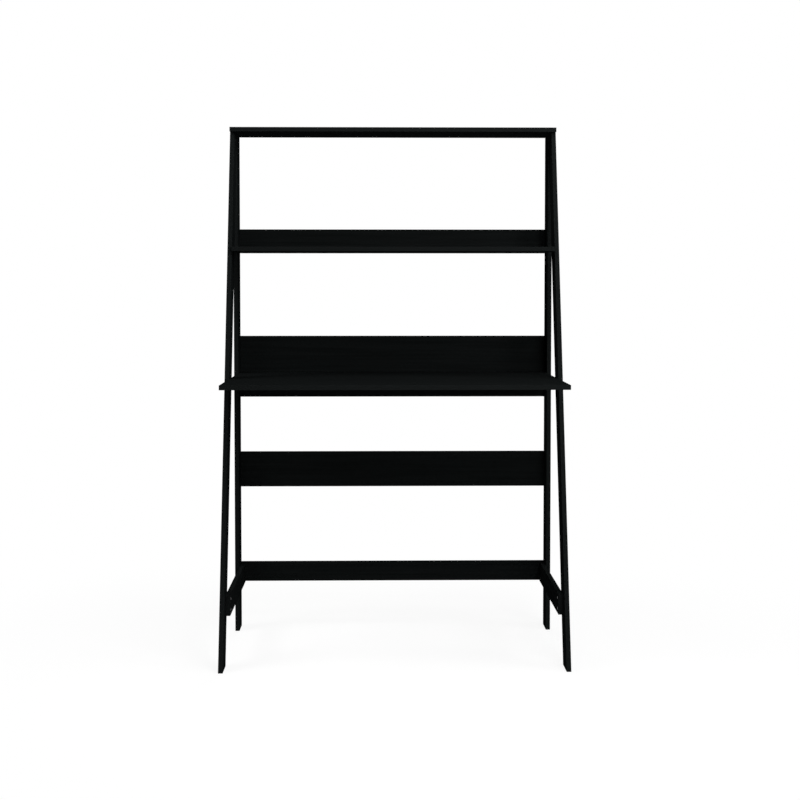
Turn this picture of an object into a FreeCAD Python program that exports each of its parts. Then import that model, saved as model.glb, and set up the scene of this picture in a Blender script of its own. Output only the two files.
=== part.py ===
import FreeCAD, Part
import math
import os

# A free-standing ladder desk: two A-shaped board sides, a deep desktop, two shelves above it
# and five rails across the back, all pulled together with cams, cam bolts and dowels.
# Millimetres. The floor is z = 0, the front faces -Y and the wall is on the +Y side.
# The origin lies on the floor below the centre of the whole desk.

# Overall sizes
overall_height = 1397.0
frame_width = 885.0              # over the outer faces of the legs
foot_spread = 496.0              # front toes to the back edges of the rear legs, on the floor
board = 12.0                     # thickness of every board
edge_ease = 0.8                  # radius along the board edges

# Sides
leg_width = 66.0                 # leg boards, measured square to their length
leg_top_gap = 7.0                # front leg to rear leg, right under the top shelf

# Levels, and how far the flat boards reach
desktop_level = 725.0            # upper face of the desktop
desktop_depth = 549.0            # from the back edges of the rear legs to the front
middle_shelf_level = 1072.0      # upper face of the middle shelf
shelf_nose = 15.0                # the two shelves stand this far in front of the front legs

# Rails
shelf_back_rail_width = 55.0     # stands on the middle shelf
desk_back_rail_width = 102.0     # stands on the desktop
desk_apron_width = 58.0          # hangs under the desktop
lower_back_rail_width = 99.0
lower_back_rail_level = 400.0    # its lower edge
bottom_rail_width = 55.0
bottom_rail_level = 130.0        # its lower edge
side_rail_width = 54.0
side_rail_level = 127.5          # their lower edges

# Where the fixings stand
cam_setback = 24.0               # joint face to the cam's centre
fixing_pitch = 24.0              # cam bolt to dowel across a leg
fixing_margin = 16.0             # long edge of a rail to its first fixing
leg_skin = 3.0                   # wood left behind a blind hole

# Cams and their bolts
cam_bore_d = 12.0
cam_skirt = 0.7                  # cam wall that reaches below the bolt head
cam_wall = 1.7                   # rim round the hollow that grips the bolt head
bolt_head_d = 5.6
bolt_head_length = 2.2
bolt_neck_d = 4.0
bolt_collar_d = 6.4
bolt_collar_length = 1.2
bolt_thread_d = 6.0
bolt_thread_pitch = 1.5
drive_slot_length = 7.4          # cross slot in the top of a cam
drive_slot_width = 1.5
drive_slot_depth = 1.8

# Cover caps
cap_d = 14.0
cap_flange = 1.0
cap_ease = 0.4

# Dowels
dowel_d = 6.0
dowel_in_edge = 12.0             # length that sits in the edge of a board
dowel_chamfer = 0.7
flute_count = 12
flute_r = 0.35

# Side rail screws
screw_length = 20.0
screw_head_d = 7.0
screw_thread_d = 3.5
screw_thread_pitch = 1.6
screw_tip = 3.0
screw_slot_length = 3.4
screw_slot_width = 0.7
screw_slot_depth = 1.2

# Clearances
fit_gap = 0.1                    # radial, a cam, thread or dowel in its hole
head_gap = 0.3                   # round a bolt head or neck inside the cam and its bore
end_gap = 0.5                    # past the tip of a screw, bolt or cam in its blind hole
glue_room = 1.0                  # past each end of a dowel
plug_gap = 0.15                  # cap plug in the cam's cross slot
thread_depth = 0.5               # ridge height of a thread

# Worked out from the sizes above
leg_height = overall_height - board
inner_width = frame_width - 2 * board
half_inner = inner_width / 2
half_width = frame_width / 2
front_reach = max(desktop_depth, foot_spread)
back_y = (front_reach + cap_flange) / 2 - cap_flange
toe_y = back_y - foot_spread
rear_leg_front_y = back_y - leg_width
rear_leg_centre_y = back_y - leg_width / 2
rail_y = back_y - board / 2
rail_front_y = back_y - board

# The front leg leans so that its back edge ends leg_top_gap in front of the rear leg:
# run * cos(lean) - leg_height * sin(lean) = leg_width.
lean_run = rear_leg_front_y - leg_top_gap - toe_y
lean = math.acos(leg_width / math.hypot(lean_run, leg_height)) - math.atan2(leg_height, lean_run)
leg_section = leg_width / math.cos(lean)     # width of the front leg along Y

cam_r = cam_bore_d / 2 - fit_gap
cam_hollow_r = cam_r - cam_wall
head_r = bolt_head_d / 2
neck_r = bolt_neck_d / 2
cam_height = board / 2 + head_r + cam_skirt
blind_depth = board - leg_skin
shoulder_x = cam_setback - math.sqrt(cam_hollow_r ** 2 - head_r ** 2) + fit_gap
bolt_bore_r = bolt_collar_d / 2 + head_gap

along_x = FreeCAD.Vector(1, 0, 0)
along_y = FreeCAD.Vector(0, 1, 0)
along_z = FreeCAD.Vector(0, 0, 1)

blanks = {}                      # board name -> eased board without holes
cuts = {}                        # board name -> holes to take out of it
fixings = {}                     # node name -> list of separate solids


def point(x, y, z):
    return FreeCAD.Vector(x, y, z)


def rod(radius, start, end, y=0.0, z=0.0):
    """A cylinder along local X from start to end."""
    return Part.makeCylinder(radius, end - start, point(start, y, z), along_x)


def block(x0, x1, y0, y1, z0, z1):
    return Part.makeBox(x1 - x0, y1 - y0, z1 - z0, point(x0, y0, z0))


def turned(profile):
    """A solid turned round local X from points (x, radius) that start and end on the axis."""
    points = [point(x, radius, 0) for x, radius in profile]
    outline = Part.makePolygon(points + points[:1])
    return Part.Face(outline).revolve(point(0, 0, 0), along_x, 360)


def thread_ridges(start, end, outer_r, pitch):
    """Profile points of a ridged thread from start to end, both at the root of a ridge."""
    root_r = outer_r - thread_depth
    count = max(2, int((end - start) / pitch))
    step = (end - start) / count
    ridges = [(start, root_r)]
    for index in range(count):
        ridges.append((start + (index + 0.5) * step, outer_r))
        ridges.append((start + (index + 1) * step, root_r))
    return ridges


def frame_at(origin, x_direction, z_direction):
    """Placement that takes local X and Z to the two directions, which are at right angles."""
    y_direction = z_direction.cross(x_direction)
    turn = FreeCAD.Rotation(x_direction, y_direction, z_direction, "XZY")
    return FreeCAD.Placement(origin, turn)


def placed(shape, frame):
    return shape.transformed(frame.toMatrix(), True)


def front_face_y(z):
    """Front face of the leaning legs at a height."""
    return toe_y + z * math.tan(lean)


def front_leg_centre_y(z):
    return front_face_y(z) + leg_section / 2


def add_board(name, solid):
    blanks[name] = solid.makeFillet(edge_ease, solid.Edges)
    cuts[name] = []


def add_legs():
    """Two leaning front legs and two upright rear legs, each one board."""
    for side, x0 in (("left", -half_width), ("right", half_width - board)):
        foot = toe_y
        head = front_face_y(leg_height)
        corners = [point(x0, foot, 0), point(x0, foot + leg_section, 0),
                   point(x0, head + leg_section, leg_height), point(x0, head, leg_height)]
        outline = Part.makePolygon(corners + corners[:1])
        add_board(side + "_front_leg", Part.Face(outline).extrude(point(board, 0, 0)))
        add_board(side + "_rear_leg",
                  block(x0, x0 + board, rear_leg_front_y, back_y, 0, leg_height))


def add_shelves():
    """The top shelf caps the legs, the other two boards pass between them."""
    top_front = front_face_y(leg_height) - shelf_nose
    add_board("top_shelf",
              block(-half_width, half_width, top_front, back_y, leg_height, overall_height))
    middle_front = front_face_y(middle_shelf_level) - shelf_nose
    add_board("middle_shelf",
              block(-half_inner, half_inner, middle_front, back_y,
                    middle_shelf_level - board, middle_shelf_level))
    add_board("desktop",
              block(-half_inner, half_inner, back_y - desktop_depth, back_y,
                    desktop_level - board, desktop_level))


def back_rails():
    """Name, lower edge and width of the rails between the rear legs."""
    return (("middle_shelf_back_rail", middle_shelf_level, shelf_back_rail_width),
            ("desk_back_rail", desktop_level, desk_back_rail_width),
            ("desk_apron", desktop_level - board - desk_apron_width, desk_apron_width),
            ("lower_back_rail", lower_back_rail_level, lower_back_rail_width),
            ("bottom_back_rail", bottom_rail_level, bottom_rail_width))


def add_back_rails():
    for name, low, width in back_rails():
        add_board(name, block(-half_inner, half_inner, rail_front_y, back_y, low, low + width))


def add_side_rails():
    """Rails on the legs' inner faces, from the front leg's centre line to the back rail."""
    low = side_rail_level
    high = low + side_rail_width
    front = front_leg_centre_y((low + high) / 2)
    for side, x0 in (("left", -half_inner), ("right", half_inner - board)):
        add_board(side + "_side_rail", block(x0, x0 + board, front, rail_front_y, low, high))


# Each fixing is drawn in the frame of its joint. Local X runs from the joint face into the
# board that holds the cam, and the board with the thread lies on the -X side. Local Z points
# out of the face that the cam is pressed into.

def cam():
    """Hollow cam with a wide entry for the bolt head and a slot for its neck."""
    top = board / 2
    bottom = top - cam_height
    centre = point(cam_setback, 0, bottom)
    body = Part.makeCylinder(cam_r, cam_height, centre, along_z)
    entry_r = head_r + head_gap
    roof = entry_r + fit_gap
    hollow = Part.makeCylinder(cam_hollow_r, roof - bottom, centre, along_z)
    entry = Part.makeCylinder(entry_r, cam_bore_d, point(cam_setback, 0, 0), -along_y)
    slot_half = neck_r + head_gap
    # The slot runs from the bolt's neck, at 180 degrees, round to the entry at 270 degrees.
    slot_start = 180 - math.degrees(math.asin(slot_half / cam_hollow_r))
    slot_end = 270.0
    slot = Part.makeCylinder(cam_bore_d, 2 * slot_half, point(cam_setback, 0, -slot_half),
                             along_z, slot_end - slot_start)
    slot.rotate(point(cam_setback, 0, 0), along_z, slot_start)
    cross = cross_slot(drive_slot_length, drive_slot_width, drive_slot_depth)
    cross.translate(point(cam_setback, 0, top))
    return body.cut([hollow, entry, slot, cross])


def cross_slot(length, width, depth):
    """Two crossing bars that hang below z = 0."""
    long_way = block(-length / 2, length / 2, -width / 2, width / 2, -depth, 0)
    short_way = block(-width / 2, width / 2, -length / 2, length / 2, -depth, 0)
    return long_way.fuse(short_way)


def cam_cap():
    """Cover cap with a cross plug that presses into the cam's drive slot."""
    flange = Part.makeCylinder(cap_d / 2, cap_flange, point(0, 0, 0), along_z)
    rim = [edge for edge in flange.Edges if edge.BoundBox.ZMin > cap_flange / 2]
    flange = flange.makeChamfer(cap_ease, rim)
    plug = cross_slot(drive_slot_length - 2 * plug_gap, drive_slot_width - 2 * plug_gap,
                      drive_slot_depth - plug_gap)
    whole = flange.fuse(plug).removeSplitter()
    whole.translate(point(cam_setback, 0, board / 2))
    return whole


def cam_bolt():
    """Threaded end, collar on the joint face, neck, and the head that the cam pulls on."""
    thread_r = bolt_thread_d / 2
    thread_end = end_gap - blind_depth
    profile = [(thread_end, 0)]
    profile += thread_ridges(thread_end, 0, thread_r, bolt_thread_pitch)
    profile += [(0, bolt_collar_d / 2), (bolt_collar_length, bolt_collar_d / 2)]
    profile += [(bolt_collar_length, neck_r), (shoulder_x, neck_r), (shoulder_x, head_r)]
    profile += [(shoulder_x + bolt_head_length, head_r), (shoulder_x + bolt_head_length, 0)]
    return turned(profile)


def cam_board_holes():
    """Cam bore from the face and bolt bore from the end."""
    depth = cam_height + end_gap
    cam_bore = Part.makeCylinder(cam_bore_d / 2, depth, point(cam_setback, 0, board / 2 - depth),
                                 along_z)
    return cam_bore.fuse(rod(bolt_bore_r, -end_gap, cam_setback))


def thread_hole():
    return rod(bolt_thread_d / 2 + fit_gap, -blind_depth, end_gap)


def dowel():
    """Fluted dowel, chamfered at both ends."""
    radius = dowel_d / 2
    start = glue_room - blind_depth
    body = rod(radius, start, dowel_in_edge)
    rims = [edge for edge in body.Edges if edge.BoundBox.XLength < dowel_chamfer]
    body = body.makeChamfer(dowel_chamfer, rims)
    flutes = []
    for index in range(flute_count):
        angle = 2 * math.pi * index / flute_count
        flutes.append(rod(flute_r, start, dowel_in_edge,
                          radius * math.cos(angle), radius * math.sin(angle)))
    return body.cut(flutes)


def dowel_hole_in_face():
    return rod(dowel_d / 2 + fit_gap, -blind_depth, end_gap)


def dowel_hole_in_edge():
    return rod(dowel_d / 2 + fit_gap, -end_gap, dowel_in_edge + glue_room)


def side_rail_screw():
    """Countersunk screw with its head at x = 0."""
    head_depth = (screw_head_d - screw_thread_d) / 2
    thread_r = screw_thread_d / 2
    profile = [(0, 0), (0, screw_head_d / 2)]
    profile += [(head_depth, thread_r)]
    profile += thread_ridges(head_depth + thread_depth, screw_length - screw_tip, thread_r,
                             screw_thread_pitch)
    profile += [(screw_length, 0)]
    cross = cross_slot(screw_slot_length, screw_slot_width, screw_slot_depth)
    return turned(profile).cut(placed(cross, frame_at(point(0, 0, 0), along_z, -along_x)))


def screw_hole():
    """Countersink and hole, through the rail and blind in the leg."""
    mouth_r = screw_head_d / 2 + fit_gap
    hole_r = screw_thread_d / 2 + fit_gap
    cone = Part.makeCone(mouth_r, hole_r, mouth_r - hole_r, point(0, 0, 0), along_x)
    hole = rod(hole_r, 0, screw_length + end_gap)
    mouth = rod(mouth_r, -end_gap, 0)
    return hole.fuse([cone, mouth])


def fit(node, solid, frame):
    fixings.setdefault(node, []).append(placed(solid, frame))


def join_with_cam(name, cam_board, thread_board, frame):
    """Cam, cap and bolt of one joint. The nodes take the crossing board's name."""
    fit(name + "_cams", cam(), frame)
    fit(name + "_cam_caps", cam_cap(), frame)
    fit(name + "_cam_bolts", cam_bolt(), frame)
    cuts[cam_board].append(placed(cam_board_holes(), frame))
    cuts[thread_board].append(placed(thread_hole(), frame))


def join_with_dowel(name, edge_board, face_board, frame):
    fit(name + "_dowels", dowel(), frame)
    cuts[edge_board].append(placed(dowel_hole_in_edge(), frame))
    cuts[face_board].append(placed(dowel_hole_in_face(), frame))


def sides():
    """Name of a side, and the X direction from its legs towards the middle."""
    return (("left", 1), ("right", -1))


def join_flat_board(name, level):
    """Ends of the desktop or the middle shelf: a cam and a dowel on each of the four legs."""
    z = level - board / 2
    for side, inward in sides():
        face_x = -inward * half_inner
        for leg, centre_y in (("_front_leg", front_leg_centre_y(z)),
                              ("_rear_leg", rear_leg_centre_y)):
            bolt_at = point(face_x, centre_y - fixing_pitch / 2, z)
            dowel_at = point(face_x, centre_y + fixing_pitch / 2, z)
            join_with_cam(name, name, side + leg, frame_at(bolt_at, inward * along_x, -along_z))
            join_with_dowel(name, name, side + leg,
                            frame_at(dowel_at, inward * along_x, -along_z))


def join_top_shelf():
    """The top shelf is bolted down into the leg heads, with the cams in the inner faces."""
    for side, inward in sides():
        leg_x = -inward * (half_inner + board / 2)
        for leg, centre_y in (("_front_leg", front_leg_centre_y(leg_height)),
                              ("_rear_leg", rear_leg_centre_y)):
            bolt_at = point(leg_x, centre_y - fixing_pitch / 2, leg_height)
            dowel_at = point(leg_x, centre_y + fixing_pitch / 2, leg_height)
            join_with_cam("top_shelf", side + leg, "top_shelf",
                          frame_at(bolt_at, -along_z, inward * along_x))
            join_with_dowel("top_shelf", side + leg, "top_shelf",
                            frame_at(dowel_at, -along_z, inward * along_x))


def join_back_rail(name, low, width):
    """Wide rails have a cam between two dowels at each end, narrow ones a cam and a dowel."""
    middle = low + width / 2
    upper = low + width - fixing_margin
    lower = low + fixing_margin
    roomy = width - 2 * fixing_margin > 2 * fixing_pitch
    for side, inward in sides():
        face_x = -inward * half_inner
        cam_z = middle if roomy else lower
        dowel_heights = (lower, upper) if roomy else (upper,)
        join_with_cam(name, name, side + "_rear_leg",
                      frame_at(point(face_x, rail_y, cam_z), inward * along_x, along_y))
        for z in dowel_heights:
            join_with_dowel(name, name, side + "_rear_leg",
                            frame_at(point(face_x, rail_y, z), inward * along_x, along_y))


def dowel_rail_to_board(rail, flat_board, face_z, up, places):
    """Dowels between the long edge of a rail and the board that it touches."""
    for share in places:
        at = point(share * inner_width, rail_y, face_z)
        join_with_dowel(rail, rail, flat_board, frame_at(at, up * along_z, along_y))


def join_side_rails():
    """Two screws into each leg, driven from the inner face of the rail."""
    heights = (side_rail_level + side_rail_width / 4,
               side_rail_level + 3 * side_rail_width / 4)
    rail_end_y = front_leg_centre_y(side_rail_level + side_rail_width / 2)
    for side, inward in sides():
        rail = side + "_side_rail"
        head_x = -inward * (half_inner - board)
        for z in heights:
            front_y = (rail_end_y + front_face_y(z) + leg_section) / 2
            rear_y = (rear_leg_front_y + rail_front_y) / 2
            for leg, y in (("_front_leg", front_y), ("_rear_leg", rear_y)):
                frame = frame_at(point(head_x, y, z), -inward * along_x, along_z)
                fit(rail + "_screws", side_rail_screw(), frame)
                hole = placed(screw_hole(), frame)
                cuts[rail].append(hole)
                cuts[side + leg].append(hole)


def join_everything():
    join_flat_board("desktop", desktop_level)
    join_flat_board("middle_shelf", middle_shelf_level)
    join_top_shelf()
    for name, low, width in back_rails():
        join_back_rail(name, low, width)
    standing = (-1 / 4, 1 / 4)
    hanging = (-1 / 8, 1 / 8)
    dowel_rail_to_board("desk_back_rail", "desktop", desktop_level, 1, standing)
    dowel_rail_to_board("desk_apron", "desktop", desktop_level - board, -1, hanging)
    dowel_rail_to_board("middle_shelf_back_rail", "middle_shelf", middle_shelf_level, 1, standing)
    join_side_rails()


def write_parts():
    """One STEP file for each board and for each group of like fixings."""
    os.makedirs("parts", exist_ok=True)
    for name, blank in blanks.items():
        solid = blank.cut(cuts[name]) if cuts[name] else blank
        solid.exportStep("parts/" + name + ".step")
        print(name, "solids", len(solid.Solids), "volume", round(solid.Volume))
    for name, solids in fixings.items():
        group = Part.makeCompound(solids)
        group.exportStep("parts/" + name + ".step")
        print(name, "solids", len(group.Solids), "volume", round(group.Volume))


add_legs()
add_shelves()
add_back_rails()
add_side_rails()
join_everything()
write_parts()
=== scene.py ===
import math
import bmesh
import bpy
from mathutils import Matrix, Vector


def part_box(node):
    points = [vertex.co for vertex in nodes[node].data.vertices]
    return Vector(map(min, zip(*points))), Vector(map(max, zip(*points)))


# A black ladder desk of thin boards. The floor is z = 0, the front faces -Y and the wall side
# is +Y. Lengths in the dictionaries are millimetres.

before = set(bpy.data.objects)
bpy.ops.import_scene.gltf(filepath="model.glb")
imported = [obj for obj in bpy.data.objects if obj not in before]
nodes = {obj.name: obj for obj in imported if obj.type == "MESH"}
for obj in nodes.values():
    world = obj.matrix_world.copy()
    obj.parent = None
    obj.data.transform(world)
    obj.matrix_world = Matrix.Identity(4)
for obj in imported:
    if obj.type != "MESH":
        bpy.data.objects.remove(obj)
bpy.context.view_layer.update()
mm = 0.001
print("frame loaded:", len(nodes), "nodes")

cameraView = {
    "place": (-46.2, -3647.3, 963.7),   # in front of the desk, a little left of its middle
    "nod": 2.4,                         # degrees down from level
    "turn": -0.98,                      # degrees about the upright, to the right
    "focalLength": 62.27,
    "sensorWidth": 36.0,
    "frameDrop": 0.0682,                # how far the frame is shifted down, in sensor widths
}


def makeCamera(view):
    data = bpy.data.cameras.new("camera")
    data.sensor_width = view["sensorWidth"]
    data.lens = view["focalLength"]
    data.shift_y = -view["frameDrop"]
    camera = bpy.data.objects.new("camera", data)
    camera.location = Vector(view["place"]) * mm
    camera.rotation_euler = (math.radians(90 - view["nod"]), 0, math.radians(view["turn"]))
    bpy.context.scene.collection.objects.link(camera)
    bpy.context.scene.camera = camera


makeCamera(cameraView)
print("camera made")


def linearColour(hexText):
    # sRGB hex to the linear values that shaders take
    channels = [int(hexText[i:i + 2], 16) / 255 for i in (1, 3, 5)]
    linear = [c / 12.92 if c <= 0.04045 else ((c + 0.055) / 1.055) ** 2.4 for c in channels]
    return (*linear, 1.0)


spanEnds = ("From Min", "From Max")     # sockets of a Map Range node that take a span


def addNode(tree, kind, inputs=None, links=None, **options):
    # inputs gives sockets their values, links feeds them from a node or from one of its outputs.
    # A Mix node's sockets go by number: 0 factor, 2 and 3 numbers, 6 and 7 colours.
    node = tree.nodes.new("ShaderNode" + kind)
    for name, value in options.items():
        setattr(node, name, value)
    for socket, value in (inputs or {}).items():
        node.inputs[socket].default_value = value
    for socket, source in (links or {}).items():
        output = source.outputs[0] if isinstance(source, bpy.types.Node) else source
        tree.links.new(output, node.inputs[socket])
    return node


def newMaterial(name):
    material = bpy.data.materials.new(name)
    material.use_nodes = True
    material.node_tree.nodes.clear()
    return material, material.node_tree


def stretchedNoise(tree, sizes, turn=(0, 0, 0), detail=2.0):
    # noise whose blotches have the given sizes in mm, along axes turned by an Euler
    place = addNode(tree, "TexCoord")
    fitted = addNode(tree, "Mapping", {"Rotation": turn, "Scale": [size * mm for size in sizes]},
                     {"Vector": place.outputs["Object"]}, vector_type="TEXTURE")
    return addNode(tree, "TexNoise", {"Scale": 1.0, "Detail": detail}, {"Vector": fitted})


def grainAlong(direction):
    # Euler that turns the X axis to the direction
    return Vector(direction).to_track_quat("X", "Y" if direction[1] == 0 else "Z").to_euler()


def paint(nodeName, material):
    for slot in nodes[nodeName].material_slots:
        slot.material = material


# Melamine-faced board: black paper pressed dead matt over fibreboard, which gives the eye a deep
# even black without any gloss and with faint streaks along each board. The pores are drawn about
# twice as coarse as real ones. The edges wear a plain strip, a shade lighter: partly the strip's
# own tone and partly a painted highlight for the light that the edges catch.
melamine = {
    "darkStreak": "#0f1111",
    "lightStreak": "#131515",
    # edge colour: the strip's own tone with a painted highlight on top
    "edgeStripAndHighlight": "#151717",
    "streak": (240.0, 5.0),        # length and width
    "streakSpan": (0.35, 0.65),    # noise levels that are fully dark and fully light
    "streakDetail": 3.0,
    "pore": (14.0, 0.7),
    "poreSpan": (0.3, 0.42),       # noise levels of a pore's bottom and of the flat face
    "poreDepth": 0.03,
    "stripSpeck": 0.5,             # blotches of the strip's fine texture
    "faceRoughness": 0.9,
    "stripRoughness": 0.85,
    "specular": 0.0,
    "wideFaceCosine": 0.8,         # surfaces squarer than this to the axis across are wide faces
}


def frontLegLean():
    # angle of the front legs from the upright, from their box and the rear legs' width
    low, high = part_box("left_front_leg")
    rearLow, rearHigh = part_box("left_rear_leg")
    run, rise = high[1] - low[1], high[2] - low[2]
    return math.acos((rearHigh[1] - rearLow[1]) / math.hypot(run, rise)) - math.atan2(rise, run)


lean = frontLegLean()
boardKinds = {
    # material: boards, axis across the board, direction of the grain
    "pressedMelamineShelf": (("top_shelf", "middle_shelf", "desktop"), "Z", (1, 0, 0)),
    "pressedMelamineBackRail": (("middle_shelf_back_rail", "desk_back_rail", "desk_apron",
                                 "lower_back_rail", "bottom_back_rail"), "Y", (1, 0, 0)),
    "pressedMelamineRearLeg": (("left_rear_leg", "right_rear_leg"), "X", (0, 0, 1)),
    "pressedMelamineFrontLeg": (("left_front_leg", "right_front_leg"), "X",
                                (0, math.sin(lean), math.cos(lean))),
    "pressedMelamineSideRail": (("left_side_rail", "right_side_rail"), "X", (0, 1, 0)),
}


def makeMelamine(name, across, grain, look):
    material, tree = newMaterial(name)
    turn = grainAlong(grain)
    streakLength, streakWidth = look["streak"]
    poreLength, poreWidth = look["pore"]
    streaks = stretchedNoise(tree, (streakLength, streakWidth, streakWidth), turn,
                             look["streakDetail"])
    streakTone = addNode(tree, "MapRange", dict(zip(spanEnds, look["streakSpan"])),
                         {"Value": streaks})
    pores = stretchedNoise(tree, (poreLength, poreWidth, poreWidth), turn)
    poreHeight = addNode(tree, "MapRange", dict(zip(spanEnds, look["poreSpan"])),
                         {"Value": pores})
    specks = stretchedNoise(tree, (look["stripSpeck"],) * 3)
    # 1 on the two wide faces, 0 on the edges
    shape = addNode(tree, "NewGeometry")
    parts = addNode(tree, "SeparateXYZ", links={0: shape.outputs["True Normal"]})
    squareness = addNode(tree, "Math", links={0: parts.outputs[across]}, operation="ABSOLUTE")
    onFace = addNode(tree, "Math", {1: look["wideFaceCosine"]}, {0: squareness},
                     operation="GREATER_THAN")
    face = addNode(tree, "Mix", {6: linearColour(look["darkStreak"]),
                                 7: linearColour(look["lightStreak"])},
                   {0: streakTone}, data_type="RGBA")
    # the edges take the lighter strip colour, partly a painted highlight
    colour = addNode(tree, "Mix", {6: linearColour(look["edgeStripAndHighlight"])},
                     {0: onFace, 7: face.outputs[2]}, data_type="RGBA")
    roughness = addNode(tree, "Mix", {2: look["stripRoughness"], 3: look["faceRoughness"]},
                        {0: onFace}, data_type="FLOAT")
    height = addNode(tree, "Mix", links={0: onFace, 2: specks, 3: poreHeight}, data_type="FLOAT")
    bump = addNode(tree, "Bump", {"Strength": 1.0, "Distance": look["poreDepth"] * mm},
                   {"Height": height})
    shader = addNode(tree, "BsdfPrincipled", {"Specular IOR Level": look["specular"]},
                     {"Base Color": colour.outputs[2], "Roughness": roughness, "Normal": bump})
    addNode(tree, "OutputMaterial", links={"Surface": shader})
    return material


for name, (boards, across, grain) in boardKinds.items():
    material = makeMelamine(name, across, grain, melamine)
    for board in boards:
        paint(board, material)
print("boards finished")

# The fixings' clouds and grains are given by the sizes of their blotches, and a grain by its
# depth too.
cloudSpan = (0.35, 0.65)     # noise levels that are fully dark and fully light
cloudDetail = 3.0
# Zinc cams: die cast, which leaves a dull mottled grey with rounded grains.
castZinc = {"dark": "#8b8e92", "light": "#a9acb0", "cloud": 1.2, "grain": 0.25, "depth": 0.01,
            "roughness": 0.42, "metallic": 1.0, "specular": 0.5}
# Cam bolts: turned steel, zinc plated, which leaves a cool bright metal with a slight bloom.
platedSteel = {"dark": "#a3a7a9", "light": "#c2c5c4", "cloud": 2.0, "grain": 0.15, "depth": 0.004,
               "roughness": 0.28, "metallic": 1.0, "specular": 0.5}
# Cover caps: moulded ABS with a spark-eroded texture, which gives an even soft black.
mouldedAbs = {"dark": "#121314", "light": "#161718", "cloud": 3.0, "grain": 0.3, "depth": 0.015,
              "roughness": 0.75, "metallic": 0.0, "specular": 0.0}
# Side rail screws: hardened steel, blackened in oil, which leaves dark clouds of brown and grey.
blackenedSteel = {"dark": "#0d0d0d", "light": "#171615", "cloud": 1.5, "grain": 0.2,
                  "depth": 0.006, "roughness": 0.45, "metallic": 1.0, "specular": 0.5}
# Dowels: fluted raw beech, pale and warm with short dark flecks.
rawBeech = {"dark": "#a87d50", "light": "#cba577", "fleck": (2.5, 0.3), "fleckSpan": (0.38, 0.5),
            "depth": 0.05, "roughness": 0.7}


def makeMottled(name, look):
    # two close shades in clouds over a fine rounded grain
    material, tree = newMaterial(name)
    clouds = stretchedNoise(tree, (look["cloud"],) * 3, detail=cloudDetail)
    tone = addNode(tree, "MapRange", dict(zip(spanEnds, cloudSpan)), {"Value": clouds})
    colour = addNode(tree, "Mix", {6: linearColour(look["dark"]), 7: linearColour(look["light"])},
                     {0: tone}, data_type="RGBA")
    grain = stretchedNoise(tree, (look["grain"],) * 3)
    bump = addNode(tree, "Bump", {"Strength": 1.0, "Distance": look["depth"] * mm},
                   {"Height": grain})
    shader = addNode(tree, "BsdfPrincipled",
                     {"Metallic": look["metallic"], "Roughness": look["roughness"],
                      "Specular IOR Level": look["specular"]},
                     {"Base Color": colour.outputs[2], "Normal": bump})
    addNode(tree, "OutputMaterial", links={"Surface": shader})
    return material


def makeBeech(name, look):
    material, tree = newMaterial(name)
    length, width = look["fleck"]
    flecks = stretchedNoise(tree, (width, width, length))
    tone = addNode(tree, "MapRange", dict(zip(spanEnds, look["fleckSpan"])), {"Value": flecks})
    colour = addNode(tree, "Mix", {6: linearColour(look["dark"]), 7: linearColour(look["light"])},
                     {0: tone}, data_type="RGBA")
    bump = addNode(tree, "Bump", {"Strength": 1.0, "Distance": look["depth"] * mm},
                   {"Height": tone})
    shader = addNode(tree, "BsdfPrincipled", {"Roughness": look["roughness"]},
                     {"Base Color": colour.outputs[2], "Normal": bump})
    addNode(tree, "OutputMaterial", links={"Surface": shader})
    return material


fixingMaterials = {
    # ending of the node's name: material
    "_cams": makeMottled("dieCastZinc", castZinc),
    "_cam_bolts": makeMottled("zincPlatedSteel", platedSteel),
    "_cam_caps": makeMottled("mouldedAbs", mouldedAbs),
    "_screws": makeMottled("blackenedSteel", blackenedSteel),
    "_dowels": makeBeech("rawBeech", rawBeech),
}
for nodeName in nodes:
    for ending, material in fixingMaterials.items():
        if nodeName.endswith(ending):
            paint(nodeName, material)
print("fixings finished")

studio = {
    "floorSize": 40000.0,
    "paperColour": "#d8d8d8",       # what the floor throws back at the desk
    "shadowStrength": "#686868",    # the part of its white that the lamps give
    "paperGlow": 0.88,              # the part of its white that doesn't need them
    "fadeFrom": 550.0,              # from here outwards the floor turns to plain white
    "fadeTo": 1500.0,
    "fill": 0.05,                   # light from all round
}
lampAim = (0, 0, 700)     # the middle of the desk
lamps = {
    # name: place, size, watts
    "keyBox": ((780, -1350, 1790), 800, 15.5),
    "topBox": ((475, -825, 2345), 800, 6),
    "frontBox": ((615, -2470, 1240), 500, 17.5),
    "rightBox": ((2675, -715, 2300), 1200, 29),
    "leftBox": ((-1985, -530, 3150), 1200, 45),
    "backBox": ((0, 3200, 1150), 1200, 60),
}


def seenDirectly(tree):
    # 1 for what the camera, a gloss or a clear surface sees, 0 where a surface is being lit
    path = addNode(tree, "LightPath")
    eye = addNode(tree, "Math", links={0: path.outputs["Is Camera Ray"],
                                       1: path.outputs["Is Glossy Ray"]}, operation="MAXIMUM")
    return addNode(tree, "Math", links={0: eye, 1: path.outputs["Is Transmission Ray"]},
                   operation="MAXIMUM")


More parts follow.
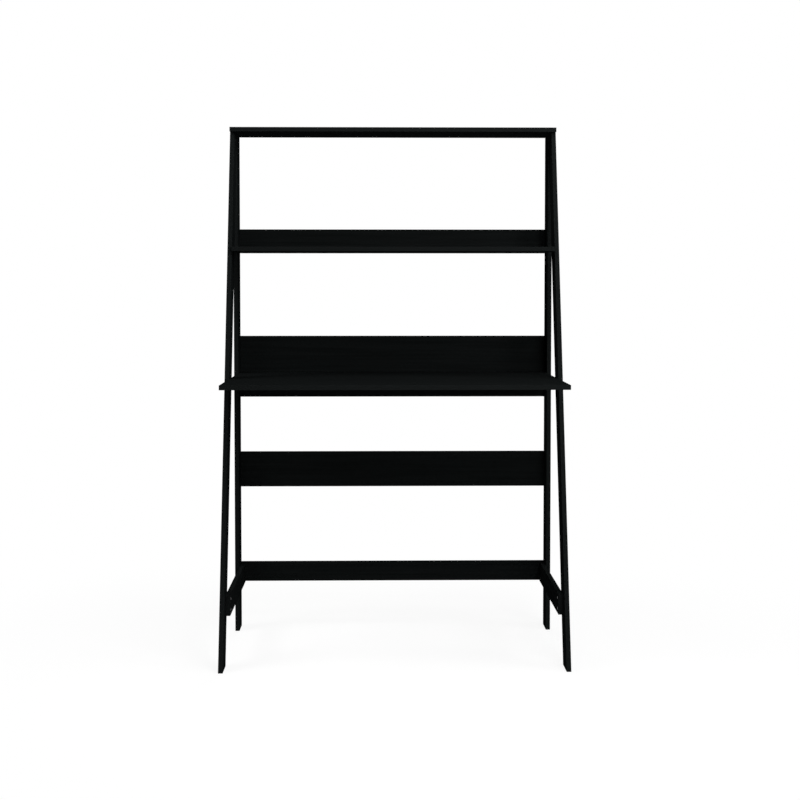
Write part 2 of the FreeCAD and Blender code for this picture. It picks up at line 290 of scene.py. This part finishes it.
def makeFloor(look):
    # seamless white paper that keeps the desk's soft shadow
    shape = bmesh.new()
    bmesh.ops.create_grid(shape, x_segments=1, y_segments=1, size=look["floorSize"] / 2 * mm)
    mesh = bpy.data.meshes.new("floor")
    shape.to_mesh(mesh)
    shape.free()
    floor = bpy.data.objects.new("floor", mesh)
    bpy.context.scene.collection.objects.link(floor)
    material, tree = newMaterial("seamlessPaper")
    place = addNode(tree, "TexCoord")
    distance = addNode(tree, "VectorMath", links={0: place.outputs["Object"]}, operation="LENGTH")
    far = addNode(tree, "MapRange",
                  {"From Min": look["fadeFrom"] * mm, "From Max": look["fadeTo"] * mm},
                  {"Value": distance.outputs["Value"]}, interpolation_type="SMOOTHSTEP")
    throwing = addNode(tree, "BsdfDiffuse", {"Color": linearColour(look["paperColour"])})
    shaded = addNode(tree, "BsdfDiffuse", {"Color": linearColour(look["shadowStrength"])})
    glow = addNode(tree, "Emission", {"Strength": look["paperGlow"]})
    near = addNode(tree, "AddShader", links={0: shaded, 1: glow})
    white = addNode(tree, "Emission", {"Strength": 1.0})
    shown = addNode(tree, "MixShader", links={0: far, 1: near, 2: white})
    mixed = addNode(tree, "MixShader", links={0: seenDirectly(tree), 1: throwing, 2: shown})
    addNode(tree, "OutputMaterial", links={"Surface": mixed})
    mesh.materials.append(material)


def makeWorld(look):
    world = bpy.data.worlds.new("studio")
    world.use_nodes = True
    tree = world.node_tree
    tree.nodes.clear()
    fill = addNode(tree, "Background", {"Color": (1, 1, 1, 1), "Strength": look["fill"]})
    white = addNode(tree, "Background", {"Color": (1, 1, 1, 1), "Strength": 1.0})
    mixed = addNode(tree, "MixShader", links={0: seenDirectly(tree), 1: fill, 2: white})
    addNode(tree, "OutputWorld", links={"Surface": mixed})
    bpy.context.scene.world = world


def makeLamp(name, place, size, watts):
    data = bpy.data.lights.new(name, "AREA")
    data.shape = "SQUARE"
    data.size = size * mm
    data.energy = watts
    lamp = bpy.data.objects.new(name, data)
    lamp.location = Vector(place) * mm
    lamp.rotation_euler = (Vector(lampAim) - Vector(place)).to_track_quat("-Z", "Y").to_euler()
    lamp.visible_camera = False
    bpy.context.scene.collection.objects.link(lamp)


makeFloor(studio)
makeWorld(studio)
for name, (place, size, watts) in lamps.items():
    makeLamp(name, place, size, watts)
bpy.context.scene.view_settings.view_transform = "Standard"
print("studio made")
